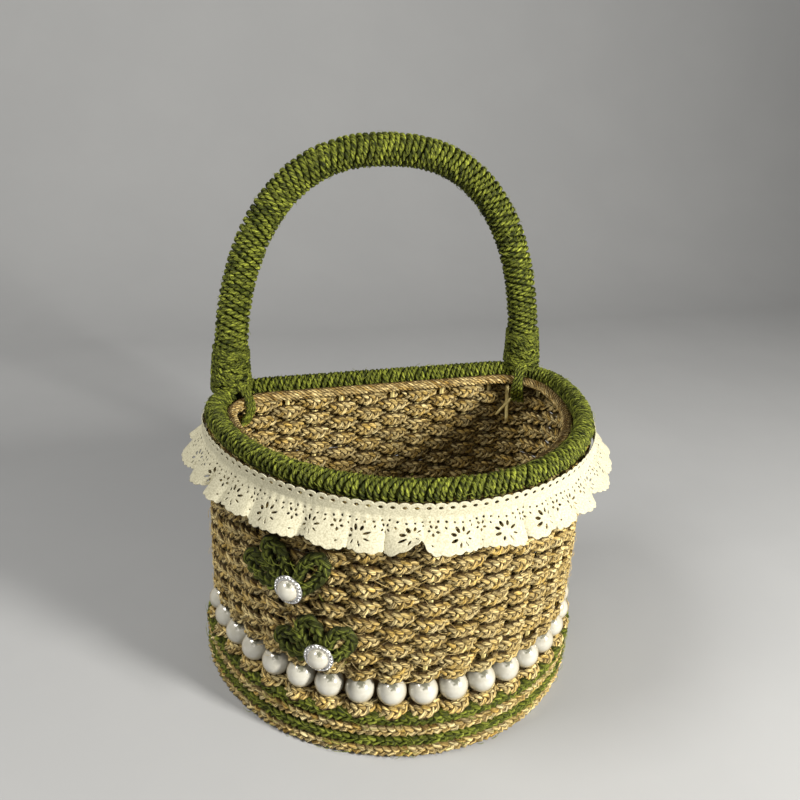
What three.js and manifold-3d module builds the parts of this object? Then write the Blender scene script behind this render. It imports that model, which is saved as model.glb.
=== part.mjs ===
import * as THREE from 'three';
import { mergeVertices } from 'three/addons/utils/BufferGeometryUtils.js';
import Module from 'manifold-3d';

// Hemp rope storage basket, half round in plan, with a straight back and one fixed arched handle.
// Millimetres, +Z up, the straight back towards +Y, the floor at z = 0.

// Gap kept between neighbouring solids
const CLEARANCE = 0.3;

// Plan of the wall, measured on the line of the stakes
const FRONT_RADIUS = 82.5;
const CORNER_RADIUS = 26.5;
const FRONT_STEPS = 16;
const CORNER_STEPS = 5;

// Base board and the braided cords glued round its edge
const BOARD_THICKNESS = 4;
const BRAID_COUNT = 4;
const BRAID_HEIGHT = 5.25;
const BRAID_DEPTH = 6;

// Stakes
const STAKE_COUNT = 35;
const STAKE_DIAMETER = 2.1;
const STAKE_SIDES = 5;
const FIRST_STAKE = 0.58;

// Woven rope: each row passes outside one stake and inside the next
const ROW_PITCH = 4;
const BULGE_DEPTH = 2.6;
const BULGE_HEIGHT = 7.3;
const CROSSING_DEPTH = 5;
const CROSSING_HEIGHT = 3.6;

// Locking rows under and over the pearls, each a pair of ropes that cross between the stakes
const FOOT_ROW_HEIGHT = 1.4;
const FOOT_LOBE_RISE = 1.9;
const FOOT_LOBE_DEPTH = 3.8;
const HEAD_ROW_HEIGHT = 5.2;
const PAIR_DEPTH = 2.8;
const PAIR_PINCH = 0.6;

// String of pearls, one at each stake, that lie flat against the stakes
const PEARL_DIAMETER = 12;
const PEARL_OUT = 0.4;
const PEARL_HEADROOM = 1.2;
const PEARL_SIDES = 5;
const THREAD_DIAMETER = 1.4;

// Rim: a hoop wrapped with green cord, and the wrapped ring inside it
const RIM_HEIGHT = 123.5;
const RIM_DIAMETER = 9.1;
const RIM_WRAP = 1.6;
const RING_DIAMETER = 4.8;
const RING_DROP = 2.3;
const TUBE_SIDES = 8;
const CORE_SIDES = 6;

// Handle: a bent core wrapped with green cord, standing on the rim at the back corners
const HANDLE_HALF_WIDTH = 72.5;
const HANDLE_RISE = 104.5;
const HANDLE_SQUARENESS = 2.39;
const HANDLE_DIAMETER = 14.8;
const HANDLE_WRAP = 2.4;
const HANDLE_BACKSET = 2.6;
const HANDLE_LEAN = 0.09;
const HANDLE_SEAT = 1;
const HANDLE_STEPS = 22;
const LASHING_WIDTH = 6;
const LASHING_THICKNESS = 2;
const LASHING_RISE = 3;
const LASHING_TAIL = 7;

// Lace: a flat header under the rim and a gathered ruffle below it
const LACE_THICKNESS = 0.6;
const LACE_TOP_BELOW_RIM = 2.3;
const LACE_HEADER = 7.5;
const LACE_RUFFLE = 11.5;
const LACE_FLARE = 8.2;
const LACE_FOLDS = 30;
const LACE_FOLD_DEPTH = 4;
const STEPS_PER_FOLD = 3;

// Flowers: three loops of green cord and a pearl in a metal bezel
const PETAL_WIDTH = 12;
const PETAL_START = 3;
const PETAL_ROOT = 5.5;
const PETAL_CORD = 4.6;
const PETAL_STEPS = 10;
const PETAL_SIDES = 5;
const HUB_DIAMETER = 10;
const HUB_LIFT = 0.4;
const BEZEL_DIAMETER = 12.4;
const BEZEL_THICKNESS = 1.8;
const BEZEL_SEAT_DEPTH = 1;
const CABOCHON_DIAMETER = 9.4;
const CABOCHON_HEIGHT = 4;
const ROUND_STEPS = 10;
const DOME_STEPS = 4;
const UPPER_FLOWER_HEIGHT = 78.5;
const UPPER_PETAL_LENGTH = 23.5;
const LOWER_FLOWER_HEIGHT = 50.6;
const LOWER_PETAL_LENGTH = 19.5;
const FLOWERS = [
  {
    label: 'upper',
    around: -0.769,
    height: UPPER_FLOWER_HEIGHT,
    petalLength: UPPER_PETAL_LENGTH,
    petals: [156, 116, 61],
  },
  {
    label: 'lower',
    around: -0.626,
    height: LOWER_FLOWER_HEIGHT,
    petalLength: LOWER_PETAL_LENGTH,
    petals: [158, 110, 60],
  },
];

// Heights and distances worked out from the sizes above
const stakeRadius = STAKE_DIAMETER / 2;
const braidPitch = BRAID_HEIGHT + CLEARANCE;
const braidInner = stakeRadius + 2 * CLEARANCE;
const braidOut = braidInner + BRAID_DEPTH / 2;
const boardEdge = braidInner - CLEARANCE;
const bandTop = BRAID_COUNT * braidPitch;
const footRowZ = bandTop + CLEARANCE / 2 + FOOT_ROW_HEIGHT / 2;
const bulgeOut = stakeRadius + CLEARANCE + BULGE_DEPTH / 2;
const wallOut = bulgeOut + BULGE_DEPTH / 2;
const pearlRadius = PEARL_DIAMETER / 2;
const pearlZ = footRowZ + FOOT_ROW_HEIGHT / 2 + CLEARANCE + pearlRadius;
const pearlBack = stakeRadius + CLEARANCE;
const headRowZ = pearlZ + pearlRadius + PEARL_HEADROOM + HEAD_ROW_HEIGHT / 2;
const weaveStartZ = headRowZ + HEAD_ROW_HEIGHT / 2 + CLEARANCE + CROSSING_HEIGHT / 2;
const rimRadius = RIM_DIAMETER / 2;
const rimBore = rimRadius - RIM_WRAP;
const rimBottom = RIM_HEIGHT - rimRadius;
const ringRadius = RING_DIAMETER / 2;
const ringReach = rimRadius + ringRadius + CLEARANCE;
const ringIn = Math.sqrt(ringReach ** 2 - RING_DROP ** 2);
const ringZ = RIM_HEIGHT - RING_DROP;
const handleRadius = HANDLE_DIAMETER / 2;
const handleBore = handleRadius - HANDLE_WRAP;
const straightHalf = FRONT_RADIUS - CORNER_RADIUS;
const cornerLength = CORNER_RADIUS * Math.PI / 2;
const frontLength = FRONT_RADIUS * Math.PI;
const planLength = 2 * straightHalf + 2 * cornerLength + frontLength;
const stakePitch = planLength / STAKE_COUNT;
const weaveRoom = rimBottom - CLEARANCE - CROSSING_HEIGHT / 2 - weaveStartZ;
const lastPlace = Math.floor(weaveRoom / ROW_PITCH * STAKE_COUNT);

// Finishes
const finish = (colour, roughness, metalness = 0) =>
  new THREE.MeshStandardMaterial({ color: colour, roughness, metalness });
const jute = finish(0xbf9a5c, 0.9);
const greenCord = finish(0x56691c, 0.85);
const tanCord = finish(0xc49a58, 0.8);
const board = finish(0xb08d5f, 0.8);
const bamboo = finish(0xcfae6e, 0.7);
const wire = finish(0x8f8f8b, 0.5, 0.8);
const cotton = finish(0xf1ead8, 0.95);
const pearl = finish(0xf3f2ee, 0.25);
const flowerCord = finish(0x3c5a20, 0.9);
const silver = finish(0xc9cccf, 0.3, 0.9);

const basket = new THREE.Group();
const wasm = await Module();
wasm.setup();

// Place on the plan: distance s runs from the middle of the back, by the left corner, the front
// and the right corner, and out is the distance outside the line of the stakes
function planPoint(s, out) {
  let rest = ((s % planLength) + planLength) % planLength;
  if (rest <= straightHalf) {
    return { x: -rest, y: CORNER_RADIUS + out, nx: 0, ny: 1 };
  }
  rest -= straightHalf;
  if (rest <= cornerLength) {
    return arcPoint(-straightHalf, CORNER_RADIUS, Math.PI / 2 + rest / CORNER_RADIUS, out);
  }
  rest -= cornerLength;
  if (rest <= frontLength) {
    return arcPoint(0, FRONT_RADIUS, Math.PI + rest / FRONT_RADIUS, out);
  }
  rest -= frontLength;
  if (rest <= cornerLength) {
    return arcPoint(straightHalf, CORNER_RADIUS, rest / CORNER_RADIUS, out);
  }
  rest -= cornerLength;
  return { x: straightHalf - rest, y: CORNER_RADIUS + out, nx: 0, ny: 1 };
}

function arcPoint(centreX, radius, angle, out) {
  const nx = Math.cos(angle);
  const ny = Math.sin(angle);
  return { x: centreX + (radius + out) * nx, y: (radius + out) * ny, nx, ny };
}

function planVector(s, out, z) {
  const point = planPoint(s, out);
  return new THREE.Vector3(point.x, point.y, z);
}

// Stations for a smooth piece that goes round the plan
function planStations() {
  const stations = [straightHalf];
  for (let i = 1; i <= CORNER_STEPS; i++) {
    stations.push(straightHalf + cornerLength * i / CORNER_STEPS);
  }
  for (let i = 1; i <= FRONT_STEPS; i++) {
    stations.push(straightHalf + cornerLength + frontLength * i / FRONT_STEPS);
  }
  for (let i = 1; i <= CORNER_STEPS; i++) {
    stations.push(straightHalf + cornerLength + frontLength + cornerLength * i / CORNER_STEPS);
  }
  return stations;
}

// Closed body from a list of rings of points, either joined into a loop or capped at both ends. Sides
// from the number turned on are split along the other diagonal, so that both faces of a sheet agree
function skin(rings, loop, turned = Infinity) {
  const sides = rings[0].length;
  const positions = rings.flat().flatMap((point) => [point.x, point.y, point.z]);
  const faces = [];
  const spans = loop ? rings.length : rings.length - 1;
  for (let i = 0; i < spans; i++) {
    const here = i * sides;
    const next = ((i + 1) % rings.length) * sides;
    for (let k = 0; k < sides; k++) {
      const side = (k + 1) % sides;
      if (k < turned) {
        faces.push(here + k, next + k, next + side, here + k, next + side, here + side);
      } else {
        faces.push(here + k, next + k, here + side, next + k, next + side, here + side);
      }
    }
  }
  if (!loop) {
    const last = (rings.length - 1) * sides;
    for (let k = 1; k < sides - 1; k++) {
      faces.push(0, k, k + 1);
      faces.push(last, last + k + 1, last + k);
    }
  }
  return outward(positions, faces);
}

// Geometry whose faces point out, whichever way its rings ran
function outward(positions, faces) {
  let volume = 0;
  const corner = (i) => new THREE.Vector3().fromArray(positions, 3 * faces[i]);
  for (let i = 0; i < faces.length; i += 3) {
    volume += corner(i).dot(corner(i + 1).cross(corner(i + 2)));
  }
  if (volume < 0) {
    faces.reverse();
  }
  const geometry = new THREE.BufferGeometry();
  geometry.setAttribute('position', new THREE.Float32BufferAttribute(positions, 3));
  geometry.setIndex(faces);
  return geometry;
}

// Hollow tube: an outer and an inner skin joined by a flat ring at each end
function pipe(outerRings, innerRings) {
  const sides = outerRings[0].length;
  const count = outerRings.length;
  const points = [...outerRings, ...innerRings].flat();
  const positions = points.flatMap((point) => [point.x, point.y, point.z]);
  const faces = [];
  const inner = count * sides;
  const quad = (a, b, c, d) => faces.push(a, b, c, a, c, d);
  for (let k = 0; k < sides; k++) {
    const side = (k + 1) % sides;
    for (let i = 0; i < count - 1; i++) {
      const here = i * sides;
      const next = here + sides;
      quad(here + k, next + k, next + side, here + side);
      quad(inner + here + k, inner + here + side, inner + next + side, inner + next + k);
    }
    const last = (count - 1) * sides;
    quad(k, side, inner + side, inner + k);
    quad(last + k, inner + last + k, inner + last + side, last + side);
  }
  return outward(positions, faces);
}

// Ring of points round a place on the plan, in the upright plane square to the wall
function sectionAt(s, out, z, halfDepth, halfHeight, sides) {
  const ring = [];
  for (let k = 0; k < sides; k++) {
    const angle = cornerAngle(k, sides);
    ring.push(planVector(s, out + halfDepth * Math.cos(angle), z + halfHeight * Math.sin(angle)));
  }
  return ring;
}

// Corners of a section start so that it is flat at the top and at the bottom
function cornerAngle(k, sides) {
  const start = sides % 4 === 0 ? 0.5 : 0;
  return 2 * Math.PI * (k + start) / sides;
}

// Ring of points round a place on the handle's line
function handleSection(place, radius, sides) {
  const [before, centre, after] = [place - 0.01, place, place + 0.01]
    .map((value) => handlePoint(Math.min(Math.max(value, 0), 1)));
  const along = after.clone().sub(before).normalize();
  const back = new THREE.Vector3(0, 1, 0).addScaledVector(along, -along.y).normalize();
  const across = new THREE.Vector3().crossVectors(along, back);
  const ring = [];
  for (let k = 0; k < sides; k++) {
    const angle = cornerAngle(k, sides);
    const point = centre.clone().addScaledVector(back, radius * Math.cos(angle));
    ring.push(point.addScaledVector(across, radius * Math.sin(angle)));
  }
  return ring;
}

// Middle line of the handle, from the foot at +X over the top to the foot at -X
function handlePoint(place, footZ = RIM_HEIGHT + HANDLE_SEAT) {
  const angle = place * Math.PI;
  const power = 2 / HANDLE_SQUARENESS;
  const side = Math.sign(Math.cos(angle)) * Math.abs(Math.cos(angle)) ** power;
  const rise = Math.abs(Math.sin(angle)) ** power * HANDLE_RISE;
  const x = HANDLE_HALF_WIDTH * side;
  return new THREE.Vector3(x, handleFootY() + HANDLE_LEAN * rise, footZ + rise);
}

function handleFootY() {
  const past = HANDLE_HALF_WIDTH - straightHalf;
  return Math.sqrt(CORNER_RADIUS ** 2 - past ** 2) + HANDLE_BACKSET;
}

// Distance along the plan of the foot on the given side, -1 for left and 1 for right
function footStation(side) {
  const turn = Math.acos((HANDLE_HALF_WIDTH - straightHalf) / CORNER_RADIUS);
  const fromBack = straightHalf + (Math.PI / 2 - turn) * CORNER_RADIUS;
  return side < 0 ? fromBack : planLength - fromBack;
}

function toManifold(geometry) {
  const bare = mergeVertices(stripped(geometry), 1e-5);
  const vertProperties = new Float32Array(bare.attributes.position.array);
  const triVerts = new Uint32Array(bare.index.array);
  return new wasm.Manifold(new wasm.Mesh({ numProp: 3, vertProperties, triVerts }));
}

function fromManifold(body) {
  const mesh = body.getMesh();
  const geometry = new THREE.BufferGeometry();
  geometry.setAttribute('position', new THREE.Float32BufferAttribute(mesh.vertProperties, 3));
  geometry.setIndex([...mesh.triVerts]);
  return geometry;
}

function stripped(geometry) {
  const bare = geometry.clone();
  bare.deleteAttribute('normal');
  bare.deleteAttribute('uv');
  return bare;
}

function add(name, geometry, material, parent = basket) {
  const mesh = new THREE.Mesh(mergeVertices(stripped(geometry), 1e-5), material);
  mesh.name = name;
  parent.add(mesh);
  return mesh;
}

function addBase() {
  const faces = [0, BOARD_THICKNESS].map((z) =>
    planStations().map((s) => planVector(s, boardEdge, z)));
  add('base_board', skin(faces, false), board);
  const halfHeight = BRAID_HEIGHT / 2 / Math.cos(Math.PI / CORE_SIDES);
  for (let i = 0; i < BRAID_COUNT; i++) {
    const z = braidPitch * (i + 0.5);
    const rings = planStations().map((s) =>
      sectionAt(s, braidOut, z, BRAID_DEPTH / 2, halfHeight, CORE_SIDES));
    add(`base_braid_${i + 1}`, skin(rings, true), i % 2 ? greenCord : jute);
  }
}

function addStakes() {
  const foot = BOARD_THICKNESS + CLEARANCE;
  const length = rimBottom - CLEARANCE - foot;
  for (let i = 0; i < STAKE_COUNT; i++) {
    const shape = new THREE.CylinderGeometry(stakeRadius, stakeRadius, length, STAKE_SIDES);
    const name = `stake_${String(i + 1).padStart(2, '0')}`;
    const mesh = add(name, shape.rotateX(Math.PI / 2), bamboo);
    mesh.position.copy(planVector(stakeStation(i), 0, foot + length / 2));
  }
}

function stakeStation(place) {
  return (place + FIRST_STAKE) * stakePitch;
}

// Diamond section of the rope: crown outward and inward, edges up and down
function ropeSection(place, out, z, halfDepth, up, down) {
  const s = stakeStation(place);
  return [
    planVector(s, out + halfDepth, z),
    planVector(s, out, z + up),
    planVector(s, out - halfDepth, z),
    planVector(s, out, z - down),
  ];
}

// Where the rope passes a stake it swells up and down over the rows that pass the other side
function wovenRing(place) {
  const z = weaveStartZ + ROW_PITCH * place / STAKE_COUNT;
  const tight = CROSSING_HEIGHT / 2;
  if (place % 1 !== 0) {
    return ropeSection(place, 0, z, CROSSING_DEPTH / 2, tight, tight);
  }
  const outside = place % 2 === 1;
  const up = place + STAKE_COUNT <= lastPlace ? BULGE_HEIGHT / 2 : tight;
  const down = place >= STAKE_COUNT ? BULGE_HEIGHT / 2 : tight;
  return ropeSection(place, outside ? bulgeOut : -bulgeOut, z, BULGE_DEPTH / 2, up, down);
}

function addWeave() {
  const rings = [];
  for (let half = 0; half <= 2 * lastPlace; half++) {
    rings.push(wovenRing(half / 2));
  }
  add('weave_rope', skin(rings, false), jute);
}

// A locking row bulges in front of each stake, and its ropes pinch in where they cross
function lockingRow(z, depth, up, down) {
  const rings = [];
  for (let half = 0; half < 2 * STAKE_COUNT; half++) {
    const s = stakeStation(half / 2);
    const crossing = half % 2 === 1;
    const inner = crossing ? -PAIR_DEPTH / 2 : stakeRadius + CLEARANCE;
    const crown = inner + (crossing ? PAIR_DEPTH : depth);
    const share = crossing ? PAIR_PINCH : 1;
    rings.push([
      planVector(s, inner, z + share * up),
      planVector(s, crown, z),
      planVector(s, inner, z - share * down),
    ]);
  }
  return skin(rings, true);
}

function addLockingRows() {
  const footRow = lockingRow(footRowZ, FOOT_LOBE_DEPTH, FOOT_LOBE_RISE, FOOT_ROW_HEIGHT / 2);
  add('weave_foot_row', footRow, jute);
  const headHalf = HEAD_ROW_HEIGHT / 2;
  add('weave_head_row', lockingRow(headRowZ, BULGE_DEPTH, headHalf, headHalf), jute);
}

function addPearls() {
  const threadRadius = THREAD_DIAMETER / 2;
  const threadOut = pearlBack + threadRadius;
  const profile = [
    [-0.49, threadRadius, threadOut],
    [-0.22, 0.9 * pearlRadius, PEARL_OUT],
    [0.22, 0.9 * pearlRadius, PEARL_OUT],
    [0.49, threadRadius, threadOut],
  ];
  const rings = [];
  for (let place = 0; place < STAKE_COUNT; place++) {
    for (const [along, radius, out] of profile) {
      rings.push(pearlSection(stakeStation(place) + along * PEARL_DIAMETER, radius, out));
    }
  }
  add('pearl_strand', skin(rings, false), pearl);
}

function pearlSection(s, radius, centreOut) {
  const ring = [];
  for (let k = 0; k < PEARL_SIDES; k++) {
    const angle = 2 * Math.PI * k / PEARL_SIDES;
    const out = Math.max(centreOut + radius * Math.cos(angle), pearlBack);
    ring.push(planVector(s, out, pearlZ + radius * Math.sin(angle)));
  }
  return ring;
}

// Largest core that clears the flats of a faceted bore
function coreInside(bore) {
  return bore * Math.cos(Math.PI / TUBE_SIDES) - CLEARANCE;
}

function addRim() {
  const stations = planStations();
  const coreRadius = coreInside(rimBore);
  const core = stations.map((s) => sectionAt(s, 0, RIM_HEIGHT, coreRadius, coreRadius, CORE_SIDES));
  add('rim_core', skin(core, true), bamboo);

  // The wrapping starts and ends at the middle of the back, with a butt gap
  const wrapped = [CLEARANCE / 2, ...stations, planLength - CLEARANCE / 2];
  const outer = wrapped.map((s) => sectionAt(s, 0, RIM_HEIGHT, rimRadius, rimRadius, TUBE_SIDES));
  const inner = wrapped.map((s) => sectionAt(s, 0, RIM_HEIGHT, rimBore, rimBore, TUBE_SIDES));
  add('rim_wrap', pipe(outer, inner), greenCord);

  const ring = stations.map((s) => sectionAt(s, -ringIn, ringZ, ringRadius, ringRadius, CORE_SIDES));
  add('inner_ring', skin(ring, true), tanCord);
}

function addHandle() {
  const places = [];
  for (let i = 0; i <= HANDLE_STEPS; i++) {
    places.push(i / HANDLE_STEPS);
  }
  const envelope = rimRadius + CLEARANCE / Math.cos(Math.PI / TUBE_SIDES);
  const rings = planStations().map((s) =>
    sectionAt(s, 0, RIM_HEIGHT, envelope, envelope, TUBE_SIDES));
  const rimRoom = toManifold(skin(rings, true));

  const outer = places.map((place) => handleSection(place, handleRadius, TUBE_SIDES));
  const inner = places.map((place) => handleSection(place, handleBore, TUBE_SIDES));
  const wrap = toManifold(pipe(outer, inner)).subtract(rimRoom);
  add('handle_wrap', fromManifold(wrap), greenCord);

  const coreRadius = coreInside(handleBore);
  const coreRings = places.map((place) => handleSection(place, coreRadius, CORE_SIDES));
  const core = toManifold(skin(coreRings, false)).subtract(rimRoom);
  add('handle_core', fromManifold(core), wire);
}

// Cord that ties each foot: from the inner face of the leg, over the ring and back to the wall
function addLashings() {
  const half = LASHING_THICKNESS / 2;
  const overRing = ringRadius + CLEARANCE + half;
  const facing = planPoint(footStation(1), 0).ny;
  const legFace = HANDLE_BACKSET * facing - handleRadius - CLEARANCE - half;
  const line = [
    [legFace, RIM_HEIGHT + rimRadius + LASHING_RISE],
    [legFace - CLEARANCE, RIM_HEIGHT + rimRadius - LASHING_RISE / 2],
    [-ringIn - 0.7 * overRing, ringZ + 0.72 * overRing],
    [-ringIn - overRing, ringZ],
    [-ringIn - 0.7 * overRing, ringZ - 0.72 * overRing],
    [-wallOut - CLEARANCE - half, ringZ - overRing - LASHING_TAIL / 2],
    [-wallOut - CLEARANCE - half, ringZ - overRing - LASHING_TAIL],
  ];
  for (const [label, side] of [['left', -1], ['right', 1]]) {
    const s = footStation(side);
    const rings = line.map((place, i) => lashingSection(line, i, s));
    add(`handle_lashing_${label}`, skin(rings, false), greenCord);
  }
}

function lashingSection(line, i, s) {
  const before = line[Math.max(i - 1, 0)];
  const after = line[Math.min(i + 1, line.length - 1)];
  const length = Math.hypot(after[0] - before[0], after[1] - before[1]);
  const half = LASHING_THICKNESS / 2;
  const sideways = [-(after[1] - before[1]) / length * half, (after[0] - before[0]) / length * half];
  const corners = [[1, 0.5], [1, -0.5], [-1, -0.5], [-1, 0.5]];
  return corners.map(([face, edge]) => planVector(
    s + edge * LASHING_WIDTH,
    line[i][0] + face * sideways[0],
    line[i][1] + face * sideways[1],
  ));
}

// The lace hangs from just under the rim: a flat header, then broad folds with narrow valleys
function laceRows(fold) {
  const hugRim = Math.sqrt((rimRadius + CLEARANCE) ** 2 - LACE_TOP_BELOW_RIM ** 2);
  const topOut = hugRim + LACE_THICKNESS / 2 + CLEARANCE;
  const topZ = RIM_HEIGHT - LACE_TOP_BELOW_RIM;
  const headerOut = Math.max(topOut, wallOut + CLEARANCE + LACE_THICKNESS) + CLEARANCE;
  const headerZ = topZ - LACE_HEADER;
  const drop = Math.sqrt(LACE_RUFFLE ** 2 - LACE_FLARE ** 2);
  const wave = -LACE_FOLD_DEPTH / 2 * Math.cos(2 * Math.PI * fold);
  return [[topOut, topZ], [headerOut, headerZ], [headerOut + LACE_FLARE + wave, headerZ - drop]];
}

function addLace() {
  const columns = LACE_FOLDS * STEPS_PER_FOLD;
  const half = LACE_THICKNESS / 2;
  const rings = [];
  for (let i = 0; i < columns; i++) {
    const s = planLength * i / columns;
    const rows = laceRows(i / STEPS_PER_FOLD);
    const outerFace = rows.map(([out, z]) => planVector(s, out + half, z));
    const innerFace = rows.map(([out, z]) => planVector(s, out - half, z));
    rings.push([...outerFace, ...innerFace.reverse()]);
  }
  add('lace_trim', skin(rings, true, rings[0].length / 2), cotton);
}

// Ring of cord bent to the wall: one petal, leaning at the given angle from its root under the pearl
function petalLoop(flower, degrees) {
  const lean = THREE.MathUtils.degToRad(degrees);
  const cordRadius = PETAL_CORD / 2;
  const out = wallOut + CLEARANCE + cordRadius;
  const reach = PETAL_START + flower.petalLength / 2;
  const rings = [];
  for (let i = 0; i < PETAL_STEPS; i++) {
    const turn = 2 * Math.PI * i / PETAL_STEPS;
    const ring = [];
    for (let k = 0; k < PETAL_SIDES; k++) {
      const roll = 2 * Math.PI * k / PETAL_SIDES;
      const swell = cordRadius * Math.cos(roll);
      const along = reach + (flower.petalLength / 2 - cordRadius + swell) * Math.cos(turn);
      const across = (PETAL_WIDTH / 2 - cordRadius + swell) * Math.sin(turn);
      const sideways = along * Math.cos(lean) - across * Math.sin(lean);
      const rise = along * Math.sin(lean) + across * Math.cos(lean) - PETAL_ROOT;
      ring.push(wallVector(flower, sideways, rise, out + cordRadius * Math.sin(roll)));
    }
    rings.push(ring);
  }
  return toManifold(skin(rings, true));
}

// Point near a flower: sideways along the wall, up it, and out from the line of the stakes
function wallVector(flower, sideways, rise, out) {
  const angle = flower.around + sideways / (FRONT_RADIUS + wallOut);
  const radius = FRONT_RADIUS + out;
  const height = flower.height + rise;
  return new THREE.Vector3(radius * Math.sin(angle), -radius * Math.cos(angle), height);
}

function addFlowers() {
  for (const flower of FLOWERS) {
    const hubOut = wallOut + CLEARANCE;
    const hub = new THREE.CylinderGeometry(HUB_DIAMETER / 2, HUB_DIAMETER / 2, PETAL_CORD, 10);
    hub.translate(0, PETAL_CORD / 2 + hubOut + HUB_LIFT, 0);
    const hubBody = toManifold(standOnWall(hub, flower));
    const loops = flower.petals.map((degrees) => petalLoop(flower, degrees));
    const body = loops.reduce((whole, loop) => whole.add(loop), hubBody);
    add(`flower_${flower.label}`, fromManifold(body), flowerCord);

    const seat = hubOut + HUB_LIFT + PETAL_CORD + CLEARANCE;
    add(`bezel_${flower.label}`, standOnWall(bezelShape(seat), flower), silver);
    const cabochonSeat = seat + BEZEL_THICKNESS - BEZEL_SEAT_DEPTH + CLEARANCE;
    const dome = standOnWall(cabochonShape(cabochonSeat), flower);
    add(`pearl_cabochon_${flower.label}`, dome, pearl);
  }
}

// Turn a shape made round the y axis so that y points out of the wall at the flower
function standOnWall(geometry, flower) {
  const placed = geometry.clone();
  placed.translate(0, FRONT_RADIUS, 0);
  placed.rotateX(Math.PI);
  placed.rotateZ(flower.around);
  placed.translate(0, 0, flower.height);
  return placed;
}

// Saucer with a raised beaded edge round the seat of the pearl
function bezelShape(seat) {
  const outer = BEZEL_DIAMETER / 2;
  const inner = CABOCHON_DIAMETER / 2 + CLEARANCE;
  const floor = BEZEL_THICKNESS - BEZEL_SEAT_DEPTH;
  const profile = [
    [0, 0],
    [outer - 0.6, 0],
    [outer, BEZEL_THICKNESS / 2],
    [outer - 0.5, BEZEL_THICKNESS],
    [inner, BEZEL_THICKNESS],
    [inner, floor],
    [0, floor],
  ];
  const points = profile.map(([radius, height]) => new THREE.Vector2(radius, seat + height));
  return new THREE.LatheGeometry(points, ROUND_STEPS);
}

function cabochonShape(seat) {
  const radius = CABOCHON_DIAMETER / 2;
  const points = [new THREE.Vector2(0, seat)];
  for (let i = 0; i < DOME_STEPS; i++) {
    const angle = Math.PI / 2 * i / DOME_STEPS;
    points.push(new THREE.Vector2(radius * Math.cos(angle), seat + CABOCHON_HEIGHT * Math.sin(angle)));
  }
  points.push(new THREE.Vector2(0, seat + CABOCHON_HEIGHT));
  return new THREE.LatheGeometry(points, ROUND_STEPS);
}

addBase();
addStakes();
addLockingRows();
addPearls();
addWeave();
addRim();
addHandle();
addLashings();
addLace();
addFlowers();

export default basket;
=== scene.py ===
import math

import bpy
import numpy as np
from mathutils import Matrix, Vector


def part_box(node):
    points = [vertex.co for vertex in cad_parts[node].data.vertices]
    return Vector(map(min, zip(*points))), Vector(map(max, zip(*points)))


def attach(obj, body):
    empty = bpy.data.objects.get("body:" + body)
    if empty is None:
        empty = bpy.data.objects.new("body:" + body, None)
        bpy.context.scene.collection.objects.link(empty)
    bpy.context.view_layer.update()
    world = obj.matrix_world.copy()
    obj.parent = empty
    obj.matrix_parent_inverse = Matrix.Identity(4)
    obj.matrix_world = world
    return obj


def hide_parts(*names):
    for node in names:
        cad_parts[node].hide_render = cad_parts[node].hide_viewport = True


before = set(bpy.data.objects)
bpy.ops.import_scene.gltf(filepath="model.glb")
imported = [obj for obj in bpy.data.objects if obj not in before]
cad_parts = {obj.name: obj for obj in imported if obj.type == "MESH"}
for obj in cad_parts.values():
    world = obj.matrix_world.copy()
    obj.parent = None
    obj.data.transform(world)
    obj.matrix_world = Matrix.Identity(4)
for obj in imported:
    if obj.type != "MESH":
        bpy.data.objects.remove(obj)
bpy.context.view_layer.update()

# Sizes are in millimetres unless a heading says metres, and meshes are scaled to metres when they are made
MM = 0.001
UP = np.array([0.0, 0.0, 1.0])
FRONT = np.array([0.0, -1.0, 0.0])

# Plan of the wall, on the line of the stakes
FRONT_RADIUS = 82.5
CORNER_RADIUS = 26.5
STRAIGHT_HALF = FRONT_RADIUS - CORNER_RADIUS
CORNER_LENGTH = CORNER_RADIUS * math.pi / 2
FRONT_LENGTH = FRONT_RADIUS * math.pi
PLAN_LENGTH = 2 * STRAIGHT_HALF + 2 * CORNER_LENGTH + FRONT_LENGTH

# Stakes and the woven rope: the first stake is counted in stakes from the middle of the back
STAKE_COUNT = sum(name.startswith("stake_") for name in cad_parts)
STAKE_PITCH = PLAN_LENGTH / STAKE_COUNT
FIRST_STAKE = 0.58
ROW_PITCH = 4.0
ROPE_PLAIT = 10.0
SWING_FLATNESS = 0.25
BULGE_POWER = 1.6
BULGE_OUT = 2.7
BULGE_HEIGHT = 7.7
BULGE_DEPTH = 2.7
CROSSING_HEIGHT = 4.6
CROSSING_DEPTH = 4.6
WEAVE_CLEARANCE = 1.5
WEAVE_SAMPLES = 15

# Split bamboo inside the wall: place and height of each end, and half width
BAMBOO_BITS = ((388.0, 117.5, 386.0, 97.5, 0.95), (383.8, 111.2, 393.3, 100.7, 0.8))
BIT_IN = 5.3
BIT_HALF_DEPTH = 0.55

# Braided cords of the foot band
BAND_OUT = 4.65
BAND_DEPTH = 6.0
BAND_OVERLAP = 0.15
BAND_PLAIT = 10.5
BAND_PHASE = 1.7

# Rows that lock the pearls: the foot row leans out over the band, the head row stands upright
LOBE_OUT = 5.3
LOBE_HEIGHT = 6.2
LOBE_LEAN = 0.75
HEAD_HEIGHT = 5.8
PAIR_DEPTH = 1.4
PAIR_HEIGHT = 4.6
PAIR_RISE = 0.9
PAIR_OVERLAP = 0.35
PAIR_POWER = 0.6
PAIR_SAMPLES = 16

# Small moves of the rows from the places of their nodes, to where the photo has them
FOOT_ROW_RISE = 0.7
HEAD_ROW_DROP = 1.2
WEAVE_RISE = 3.6

# Pearls, one threaded on each stake
PEARL_RADIUS = 6.2

# Strands of a plait: share of the rope's half height or half depth and a part added, then the core's shares
STRAND_HIGH = (0.33, 0.15)
STRAND_DEEP = (0.38, 0.36)
# The core is a fill inside the plait, painted dark as the shade in the gaps between its strands
PLAIT_CORE = (0.98, 0.5)

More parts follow.
